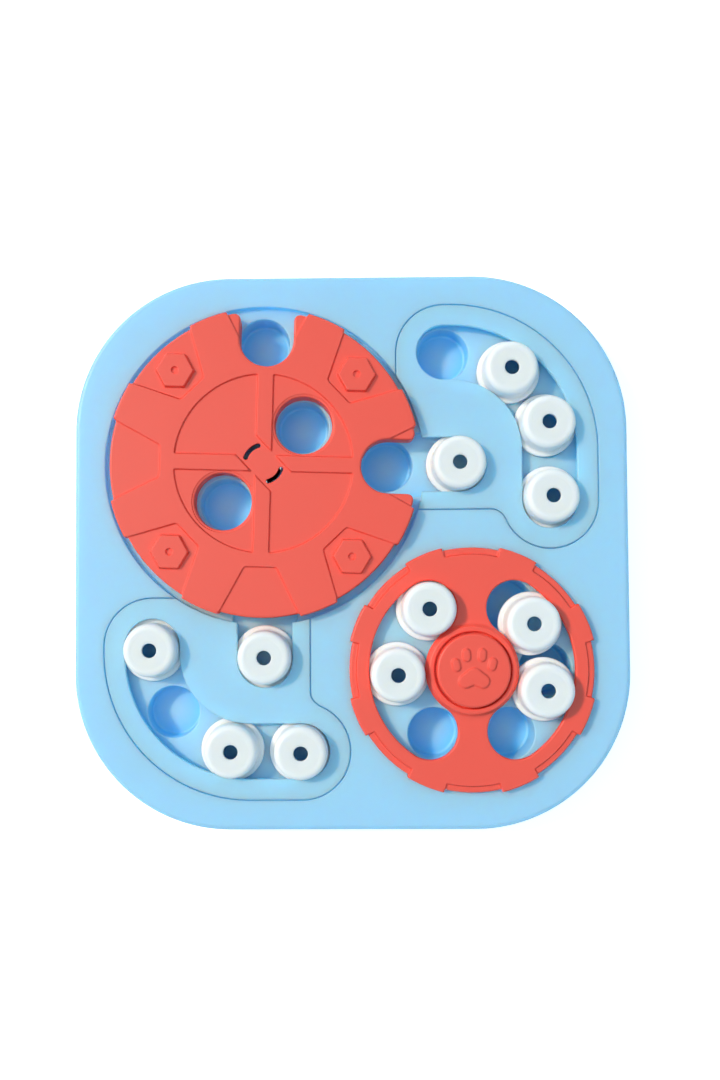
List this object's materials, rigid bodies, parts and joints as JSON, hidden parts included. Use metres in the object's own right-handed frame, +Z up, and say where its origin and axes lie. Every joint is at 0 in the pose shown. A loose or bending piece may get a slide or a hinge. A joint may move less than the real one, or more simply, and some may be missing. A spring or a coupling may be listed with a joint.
{
  "type": "dog puzzle feeder toy",
  "caption": "Square food puzzle tray for dogs with treat wells under a turntable, a steering wheel and sliding pegs in bent tracks.",
  "frame": {"origin": "on the floor under the middle of the tray", "axes": "+Z up, +Y to the far edge and +X to the right with the turntable at the far left"},
  "size_m": [0.3024, 0.3024, 0.0355],
  "materials": {
    "sky_blue_plastic": "satin moulded",
    "coral_plastic": "fine matt moulded",
    "white_plastic": "smooth moulded",
    "steel": "bright zinc",
    "rubber": "matt"
  },
  "bodies": {
    "tray": {"base_tray": "sky_blue_plastic", "inner_well_cup_1": "sky_blue_plastic", "inner_well_cup_2": "sky_blue_plastic", "inner_well_cup_3": "sky_blue_plastic", "inner_well_cup_4": "sky_blue_plastic", "outer_well_cup_1": "sky_blue_plastic", "outer_well_cup_2": "sky_blue_plastic", "outer_well_cup_3": "sky_blue_plastic", "outer_well_cup_4": "sky_blue_plastic", "right_track_well_cup_1": "sky_blue_plastic", "right_track_well_cup_2": "sky_blue_plastic", "right_track_well_cup_3": "sky_blue_plastic", "right_track_well_cup_4": "sky_blue_plastic", "left_track_well_cup_1": "sky_blue_plastic", "left_track_well_cup_2": "sky_blue_plastic", "left_track_well_cup_3": "sky_blue_plastic", "left_track_well_cup_4": "sky_blue_plastic", "wheel_well_cup_1": "sky_blue_plastic", "wheel_well_cup_2": "sky_blue_plastic", "wheel_well_cup_3": "sky_blue_plastic", "wheel_well_cup_4": "sky_blue_plastic", "wheel_well_cup_5": "sky_blue_plastic", "wheel_well_cup_6": "sky_blue_plastic", "right_track_cover": "sky_blue_plastic", "left_track_cover": "sky_blue_plastic", "wheel_washer": "steel", "wheel_screw": "steel", "right_cover_screw_1": "steel", "right_cover_screw_2": "steel", "right_cover_screw_3": "steel", "right_cover_screw_4": "steel", "left_cover_screw_1": "steel", "left_cover_screw_2": "steel", "left_cover_screw_3": "steel", "left_cover_screw_4": "steel", "back_right_foot": "rubber", "back_left_foot": "rubber", "front_left_foot": "rubber", "front_right_foot": "rubber"},
    "turntable": {"turntable_disc": "coral_plastic"},
    "wheel": {"steering_wheel": "coral_plastic", "wheel_cap": "coral_plastic"},
    "right_track_peg_1": {"right_track_peg_1": "white_plastic"},
    "right_track_peg_2": {"right_track_peg_2": "white_plastic"},
    "right_track_peg_3": {"right_track_peg_3": "white_plastic"},
    "right_lock_peg": {"right_lock_peg": "white_plastic"},
    "left_track_peg_1": {"left_track_peg_1": "white_plastic"},
    "left_track_peg_2": {"left_track_peg_2": "white_plastic"},
    "left_track_peg_3": {"left_track_peg_3": "white_plastic"},
    "left_lock_peg": {"left_lock_peg": "white_plastic"},
    "wheel_peg_1": {"wheel_peg_1": "white_plastic"},
    "wheel_peg_2": {"wheel_peg_2": "white_plastic"},
    "wheel_peg_3": {"wheel_peg_3": "white_plastic"},
    "wheel_peg_4": {"wheel_peg_4": "white_plastic"}
  },
  "joints": [
    {"name": "turntable_spin", "type": "hinge", "parent": "tray", "child": "turntable", "pos_m": [-0.0471, 0.0471, 0.022], "axis": [0, 0, 1], "continuous": true},
    {"name": "wheel_spin", "type": "hinge", "parent": "tray", "child": "wheel", "pos_m": [0.0646, -0.0646, 0.022], "axis": [0, 0, 1], "continuous": true},
    {"name": "right_track_peg_1_slide", "type": "hinge", "parent": "tray", "child": "right_track_peg_1", "pos_m": [0.0553, 0.0553, 0.022], "axis": [0, 0, 1], "range_deg": [-0.4, 36.5]},
    {"name": "right_track_peg_2_slide", "type": "hinge", "parent": "tray", "child": "right_track_peg_2", "pos_m": [0.0553, 0.0553, 0.022], "axis": [0, 0, 1], "range_deg": [-4.6, 0.3]},
    {"name": "right_track_peg_3_slide", "type": "slide", "parent": "tray", "child": "right_track_peg_3", "axis": [0, 1, 0], "range_m": [-0.0016, 0.0008]},
    {"name": "right_lock_peg_slide", "type": "slide", "parent": "tray", "child": "right_lock_peg", "axis": [1, 0, 0], "range_m": [-0.0059, 0.0004]},
    {"name": "left_track_peg_1_slide", "type": "hinge", "parent": "tray", "child": "left_track_peg_1", "pos_m": [-0.0553, -0.0553, 0.022], "axis": [0, 0, 1], "range_deg": [-1.4, 39.3]},
    {"name": "left_track_peg_2_slide", "type": "hinge", "parent": "tray", "child": "left_track_peg_2", "pos_m": [-0.0553, -0.0553, 0.022], "axis": [0, 0, 1], "range_deg": [-3.7, 0.3]},
    {"name": "left_track_peg_3_slide", "type": "slide", "parent": "tray", "child": "left_track_peg_3", "axis": [1, 0, 0], "range_m": [-0.0022, 0.0005]},
    {"name": "left_lock_peg_slide", "type": "slide", "parent": "tray", "child": "left_lock_peg", "axis": [0, 1, 0], "range_m": [-0.0016, 0.0047]},
    {"name": "wheel_peg_1_slide", "type": "hinge", "parent": "wheel", "child": "wheel_peg_1", "pos_m": [0.0646, -0.0646, 0.022], "axis": [0, 0, 1], "range_deg": [0, 6]},
    {"name": "wheel_peg_2_slide", "type": "hinge", "parent": "wheel", "child": "wheel_peg_2", "pos_m": [0.0646, -0.0646, 0.022], "axis": [0, 0, 1], "range_deg": [-0.3, 50.5]},
    {"name": "wheel_peg_3_slide", "type": "hinge", "parent": "wheel", "child": "wheel_peg_3", "pos_m": [0.0646, -0.0646, 0.022], "axis": [0, 0, 1], "range_deg": [-1.4, 16.2]},
    {"name": "wheel_peg_4_slide", "type": "hinge", "parent": "wheel", "child": "wheel_peg_4", "pos_m": [0.0646, -0.0646, 0.022], "axis": [0, 0, 1], "range_deg": [-38.6, 0.5]}
  ]
}
